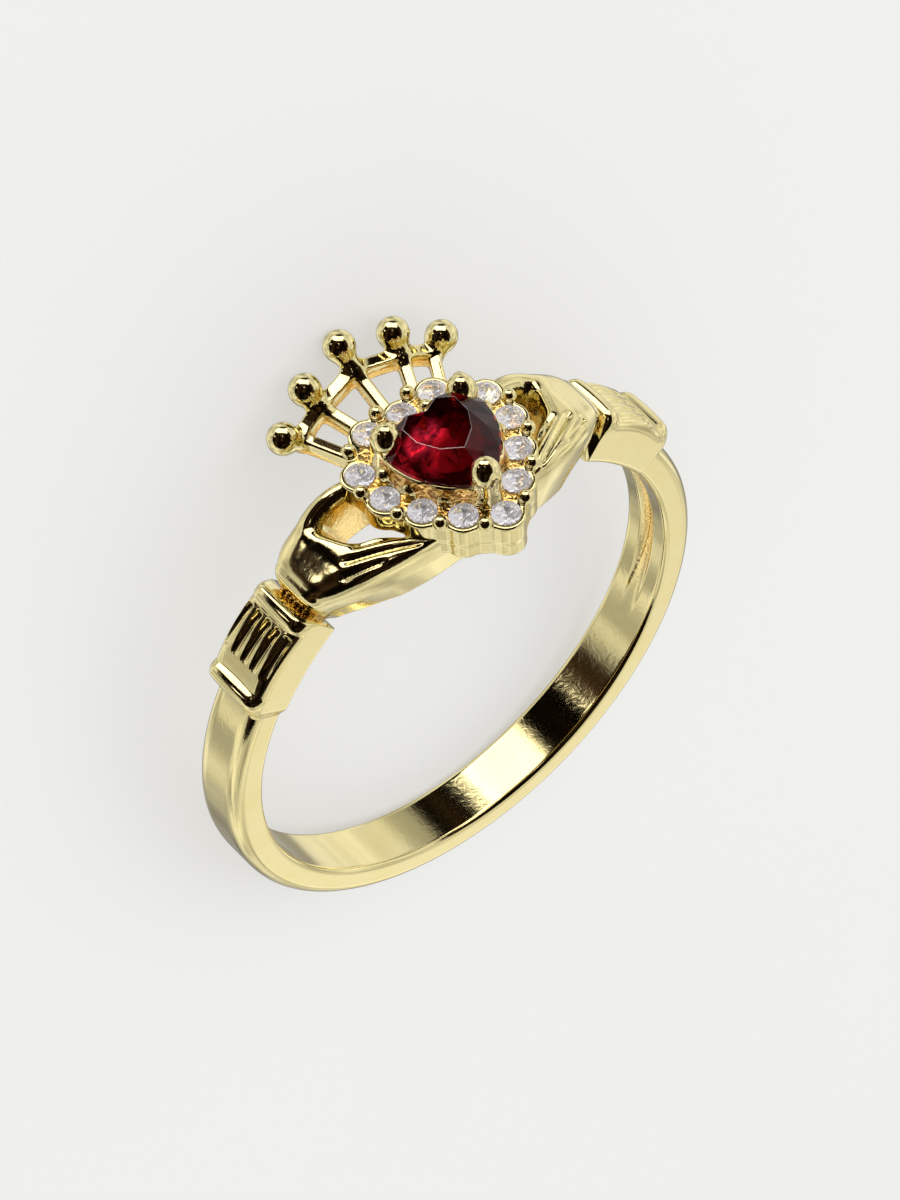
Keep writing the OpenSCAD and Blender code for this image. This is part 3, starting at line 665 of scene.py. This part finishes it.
def halo_field(x, y, z):
    """Distance to one half of the setting, worked up as it is made: plate, skirt, pocket, cup
    and bed, claws, seats, beads and the open back."""
    rings = [np.hypot(x - a, y - b) for a, b in seats]
    ring_walls = rings[0] - SEAT_R - HALO_WALL
    for ring in rings[1:]:
        ring_walls = merged(ring_walls, ring - SEAT_R - HALO_WALL, HALO_FILLET)
    plate = merged(ring_walls, flat_distance(seats, x, y) - SEAT_R, HALO_FILLET)
    form = slab(plate, z, HALO_TOP - HALO_T, HALO_TOP, HALO_FILLET)
    skirt = rings[0] - SEAT_R - HALO_WALL
    for ring in (rings[1], rings[2], rings[-1]):
        skirt = merged(skirt, ring - SEAT_R - HALO_WALL, HALO_FILLET)
    for start, end in zip(seats[[-1, 0, 1]], seats[:3]):
        skirt = merged(skirt, rod(x, y, 0, (*start, 0), (*end, 0), SEAT_R), HALO_FILLET)
    skirt = slab(skirt + SKIRT_INSET, z, HALO_TOP - SKIRT_T, HALO_TOP - HALO_T / 2, SKIRT_EDGE)
    form = merged(form, skirt, CREASE)
    pocket = flat_distance(seats * POCKET_SHARE, x, y)
    form = carved(form, slab(pocket, z, HALO_TOP - POCKET_T, HALO_TOP + 1, SEAM), POCKET_EDGE)
    stone = flat_distance(heart(HEART_W, HEART_L, 12), x, y)
    cup = (stone - CUP_OUT - np.clip(HEART_Z - z, 0, None) * CUP_FLARE) * 0.95
    form = merged(form, slab(cup, z, HALO_TOP - HALO_T, HEART_Z - CUP_LIP, SEAT_EDGE), SEAM)
    share = np.clip(1 - (HEART_Z - z) * BED_TAPER, 0.3, 1)
    bed = flat_distance(heart(HEART_W, HEART_L, 8), x / share, y / share) * share - STONE_GAP
    form = carved(form, bed * 0.8, CREASE)
    for across, up in CLAWS:
        claw = np.array([across * HEART_W, up * HEART_L])
        foot = claw * (1 + CLAW_LEAN / np.linalg.norm(claw))
        ball = (*claw, HEART_Z + CLAW_RISE)
        form = merged(form, rod(x, y, z, (*foot, HALO_TOP - HALO_T / 2), ball, CLAW_POST_R), SEAM)
        tall = (z - ball[2]) / CLAW_TALL
        bob = np.sqrt((x - ball[0]) ** 2 + (y - ball[1]) ** 2 + tall**2) - CLAW_R
        form = merged(form, bob, CLAW_FILLET)
    for ring in rings:
        cone = (ring - SEAT_R + np.clip(HEAD_Z - z, 0, None) * SEAT_R / SEAT_T)
        form = carved(form, cone * 0.75, SEAT_EDGE)
    for a, b in zip(seats, np.roll(seats, -1, 0)):
        way = (b - a) / np.linalg.norm(b - a)
        for side in (-1, 1):
            p = (a + b) / 2 + side * (SEAT_R - BEAD_INSET) * np.array([way[1], -way[0]])
            top = HEAD_Z + (BEAD_RISE if side > 0 else INNER_BEAD_RISE)
            bead = np.sqrt((x - p[0]) ** 2 + (y - p[1]) ** 2 + (z - top) ** 2) - BEAD_R
            form = merged(form, bead, SEAM)
    hole = np.hypot(x, y - OPEN_BACK_UP * HEART_L) - OPEN_BACK_R
    form = carved(form, np.maximum(hole, z - HEAD_Z), SEAM)
    return carved(form, np.hypot(x, z) - FINGER_R + 0 * y, SEAM)


HALO_STEP = 0.045
HALO_BOX = ((0, -4.7, 9.3), (3.6, 2.7, 13.0))
x, y, z = lattice(*HALO_BOX, HALO_STEP)
points, faces = skin(halo_field(x, y, z), HALO_BOX[0], HALO_STEP)
from_edge = flat_distance(seats, points[:, 0], points[:, 1])
from_stone = flat_distance(heart(HEART_W, HEART_L, 12), points[:, 0], points[:, 1])

# Rough and painted with shade is what lies inside the seats' line, save the cup's lip and the
# tops of beads and claws
CUP_NEAR = 0.15
height = points[:, 2]
lip = smooth_step(height, HEART_Z - 0.16, HEART_Z - 0.10) * (from_stone < CUP_NEAR)
tops = smooth_step(height, HEAD_Z - 0.08, HEAD_Z + 0.06) * (from_stone > CUP_NEAR)
above_foot = smooth_step(height, HALO_TOP - HALO_T + 0.05, HALO_TOP - HALO_T + 0.15)
pocket = (1 - smooth_step(from_edge, 0.05, 0.3)) * (1 - lip) * (1 - tops) * above_foot
put("halo", points, faces, gold, "gold", "casting", rough_and_shade=pocket)

# Crown
# Five square gold bars rise from under the halo, a rim links them, and each carries a ball on
# a flared neck. Cast with the halo, its windows cut through and left unpolished inside,
# with painted shade under the bars' fronts.
CROWN_W, CROWN_DROP = 6.6, 1.05
KNOT_DROP, KNOT_FALL, FOOT_DROP, FOOT_UP = -0.12, 0.7, 0.8, 0.30
BAR_W, BAR_T, BAR_EDGE, RIM_W = 0.42, 0.62, 0.08, 0.50
RAIL_W, RAIL_SHARE = 0.8, 0.8
STEM_FOOT, STEM_NECK = 0.75, 0.33
BAR_FILLET, NECK_FILLET, BALL_FILLET = 0.06, 0.3, 0.16
# Shares of CROWN_W / 2 across and CROWN_REACH up for each ball and for the knot under it, and
# of HALO_W / 2 across for its foot
CROWN_ROWS = [(0, 1, 0, 0.85, 0), (0.555, 0.90, 0.51, 0.78, 0.31), (1, 0.765, 0.84, 0.73, 0.70)]


def crown_places(row):
    """Middles of a bar's ball, knot and foot."""
    across, up, knot_across, knot_up, foot_across = row
    fall = CROWN_DROP * across**2
    ball = (across * CROWN_W / 2, up * CROWN_REACH, HEAD_Z + CROWN_RISE - fall)
    knot = (knot_across * CROWN_W / 2, knot_up * CROWN_REACH,
            HEAD_Z - KNOT_DROP - KNOT_FALL * fall - BAR_T / 2)
    foot = (foot_across * HALO_W / 2, FOOT_UP * HALO_H, HEAD_Z - FOOT_DROP - BAR_T / 2)
    return np.array(ball), np.array(knot), np.array(foot)


def bar(x, y, z, a, b, width=BAR_W):
    """Distance to a square bar from a to b, its edges a little rounded."""
    way = (b - a) / np.linalg.norm(b - a)
    flat = np.array([-way[1], way[0], 0]) / np.hypot(way[0], way[1])
    middle = (a + b) / 2
    p = [x - middle[0], y - middle[1], z - middle[2]]
    sizes = (np.linalg.norm(b - a) / 2 + width / 2, width / 2, BAR_T / 2)
    gaps = [abs(sum(q * e for q, e in zip(p, axis))) - half + BAR_EDGE
            for axis, half in zip((way, flat, np.cross(way, flat)), sizes)]
    outside = np.sqrt(sum(np.clip(g, 0, None) ** 2 for g in gaps))
    return outside + np.clip(np.maximum(np.maximum(*gaps[:2]), gaps[2]), None, 0) - BAR_EDGE


def crown_field(x, y, z):
    """Distance to one half of the crown: rim, bars, necks, balls and the rail under the halo."""
    places = [crown_places(row) for row in CROWN_ROWS]
    mirrored = places[1][1] * (-1, 1, 1)
    form = bar(x, y, z, mirrored, places[0][1], RIM_W)
    for (_, a, _), (_, b, _) in zip(places, places[1:]):
        form = merged(form, bar(x, y, z, a, b, RIM_W), BAR_FILLET)
    for ball, knot, foot in places:
        form = merged(form, bar(x, y, z, foot, knot), BAR_FILLET)
    for ball, knot, foot in places:
        neck = rod(x, y, z, knot, ball, BAR_W * STEM_FOOT, BALL_D * STEM_NECK)
        form = merged(form, neck, NECK_FILLET)
    for ball, knot, foot in places:
        bob = np.sqrt(sum((q - c) ** 2 for q, c in zip((x, y, z), ball))) - BALL_D / 2
        form = merged(form, bob, BALL_FILLET)
    rail_low = HEAD_Z - FOOT_DROP - BAR_T
    rail = np.maximum(abs(x) - HALO_W * RAIL_SHARE / 2, abs(y - FOOT_UP * HALO_H) - RAIL_W / 2)
    rail = slab(rail, z, rail_low, HALO_TOP - HALO_T / 2, SKIRT_EDGE)
    return merged(form, rail, HALO_FILLET)


CROWN_STEP = 0.045
CROWN_BOX = ((0, 0.9, 9.1), (4.1, 5.7, 12.4))
x, y, z = lattice(*CROWN_BOX, CROWN_STEP)
points, faces = skin(crown_field(x, y, z), CROWN_BOX[0], CROWN_STEP)
knots = [crown_places(row)[1] for row in CROWN_ROWS]

# Unpolished and painted with shade is what lies inside the rim's line and under the bars'
# fronts, which slope down
WINDOW_SHADE, BAR_SLOPE = 0.6, 0.45
knot_across, knot_up, knot_height = np.transpose(knots)
under_rim = np.interp(abs(points[:, 0]), knot_across, knot_up) - points[:, 1]
front = np.interp(abs(points[:, 0]), knot_across, knot_height) + BAR_T / 2
below = smooth_step(front - BAR_SLOPE * under_rim.clip(0) - points[:, 2], 0.1, 0.22)
put("crown", points, faces, gold, "gold", "casting", rough_and_shade=WINDOW_SHADE * below * (under_rim > 0.1))

# Heart stone
# A deep red heart-shaped cut stone with a table, kites, stars and girdle facets. It is foiled
# behind, lies in the cup and is held by the three claws.

# Rows of corners over the girdle, then under it: share of the outline, and of the crown's
# height or of the depth
HEART_ROWS = ((0.80, 0.60), (0.58, 1.0)), ((0.64, -0.55), (0.36, -1.0))
HEART_GIRDLE = 0.05
RED, CRIMSON, WINE = (0.85, 0.14, 0.20), (0.95, 0.10, 0.20), (0.17, 0.004, 0.014)
# Middle and reach of the red foil's painted glow and painted highlight
CRIMSON_AT, CRIMSON_REACH = (-0.1, 0.65, HEART_Z - HEART_DEPTH), 1.0
RED_IOR, TABLE_EDGE = 1.42, 0.024
GLASS_GRAIN, FOIL_GRAIN = 5000.0, 4500.0


def cut_stone(outline, rows, heights, girdle):
    """Points and faces of a cut stone, with how many faces lie on its front."""
    (mid, table), (low_mid, tip) = rows
    n = len(outline)
    rings = [(1, girdle), (mid[0], mid[1] * heights[0]), (table[0], table[1] * heights[0]),
             (1, -girdle), (low_mid[0], low_mid[1] * heights[1]), (tip[0], tip[1] * heights[1])]
    points = np.concatenate([np.column_stack([outline * s, np.full(n, h)]) for s, h in rings])
    front, back = [], []
    for faces, start, turn in ((front, 0, 1), (back, 3 * n, -1)):
        edge, inner, last = [[start + i * n + k for k in range(n)] for i in range(3)]
        for k in range(0, n, 2):
            near, far = k - 1, (k + 1) % n
            new = [(edge[near], edge[k], inner[near]), (edge[k], edge[far], inner[far]),
                   (edge[k], inner[far], last[k], inner[near]),
                   (inner[far], last[(k + 2) % n], last[k])]
            faces.extend(f[::turn] for f in new)
        faces.append([last[k] for k in range(0, n, 2)][::turn])
    wall = [(3 * n + k, 3 * n + (k + 1) % n, (k + 1) % n, k) for k in range(n)]
    return points, front + wall + back, len(front) + len(wall)


def glass_finish(name, colour, ior, shine, coat=0.0):
    """Clear or coloured glass, with a second shine over it where it has a coat."""
    material, output, wire = blank(name)
    place = wire.add("ShaderNodeTexCoord", out=3)
    grain = wire.add("ShaderNodeTexNoise", None, {"Vector": place, "Scale": GLASS_GRAIN, "Detail": 4.0})
    glass = wire.add("ShaderNodeBsdfPrincipled", None, {
        "Base Color": colour + (1,), "Roughness": 0.01 + grain * 0.03, "IOR": ior,
        "Transmission Weight": 1.0, "Specular IOR Level": shine,
        "Coat Weight": coat, "Coat IOR": 2.2})
    wire.tree.links.new(glass.socket, output.inputs["Surface"])
    return material


def foil_finish(name, lit, dark, centre, reach, rough, metallic, glow):
    """The foil behind a stone, painted bright in grains and painted to glow round a centre in ring axes,
    and dark away from it.
    """
    material, output, wire = blank(name)
    place = wire.add("ShaderNodeTexCoord", out=3)
    grain = wire.add("ShaderNodeTexNoise", None, {"Vector": place, "Scale": FOIL_GRAIN, "Detail": 5.0})
    away = wire.add("ShaderNodeVectorMath", {"operation": "DISTANCE"},
                    {0: place, 1: tuple(to_frame @ np.array(centre) * MM)}, out=1)
    glow_patch = 1 - away.step(0.4 * reach * MM, reach * MM)
    colour = (glow_patch * grain.step(0.25, 0.6)).mix(dark, lit)
    foil = wire.add("ShaderNodeBsdfPrincipled", None, {
        "Base Color": colour, "Roughness": rough + grain * 0.1, "Metallic": metallic,
        "Emission Color": glow_patch.mix((0.0, 0.0, 0.0), colour), "Emission Strength": glow})
    wire.tree.links.new(foil.socket, output.inputs["Surface"])
    return material


def set_stone(name, cut, middle, glass, foil, slot, node):
    """A cut stone with its middle at a place in ring axes: glass in front, foil behind."""
    points, faces, front = cut
    stone = put(name, points + np.array(middle), faces, glass, slot, node)
    stone.data.materials.append(foil)
    stone.data.shade_flat()
    for i, face in enumerate(stone.data.polygons):
        face.material_index = int(i >= front)
    return stone


red_glass = glass_finish("red glass", RED, RED_IOR, 0.15)
# The red foil is painted to glow crimson round the culet, with a painted highlight in its grains
red_foil = foil_finish("red foil", CRIMSON, WINE, CRIMSON_AT, CRIMSON_REACH, 0.08, 0.8, 0.35)
gem = set_stone(
    "heart_gem",
    cut_stone(heart(HEART_W, HEART_L, 5), HEART_ROWS, (HEART_CROWN, HEART_DEPTH), HEART_GIRDLE),
    (0, 0, HEART_Z), red_glass, red_foil, "red_stone", "heart_stone")
gem.data.materials.append(glass_finish("polished edge", RED, RED_IOR, 0.5, 1.0))

# The table's edges are ground to a narrow polished line
work = bmesh.new()
work.from_mesh(gem.data)
table = max((f for f in work.faces if f.material_index == 0), key=lambda f: f.calc_area())
bmesh.ops.bevel(work, geom=list(table.edges), offset=TABLE_EDGE * MM, segments=2, affect="EDGES",
                profile=0.5, clamp_overlap=True, material=2)
work.to_mesh(gem.data)
work.free()

# Small stones
# Twelve round clear brilliants, each with a table, kites, stars and sixteen girdle facets. They
# are foiled behind and sit in the halo's seats under its beads.
ROUND_ROWS = ((0.80, 0.6), (0.56, 1.0)), ((0.55, -0.5), (0.06, -1.0))
ROUND_CROWN, ROUND_DEPTH, ROUND_GIRDLE = 0.17, 0.42, 0.02
CLEAR, SILVER, SILVER_DARK, FOIL_REACH = (1.0, 0.99, 1.0), (1.0, 0.99, 1.0), (0.95, 0.92, 0.95), 30
clear_glass = glass_finish("clear glass", CLEAR, 1.7, 0.5)
# The silver foil is painted to glow faintly all over, its reach spanning the whole halo
silver_foil = foil_finish("silver foil", SILVER, SILVER_DARK, (0, 0, HEAD_Z), FOIL_REACH, 0.02, 0.97, 0.14)
circle = arc_points(0, 0, STONE_D / 2, 0, 360, 16)[:-1]
brilliant = cut_stone(circle, ROUND_ROWS, (ROUND_CROWN, ROUND_DEPTH), ROUND_GIRDLE)
for i, (a, b) in enumerate(seats, 1):
    set_stone(f"halo_gem_{i}", brilliant, (a, b, HEAD_Z), clear_glass, silver_foil,
              "clear_stone", f"halo_stone_{i}")
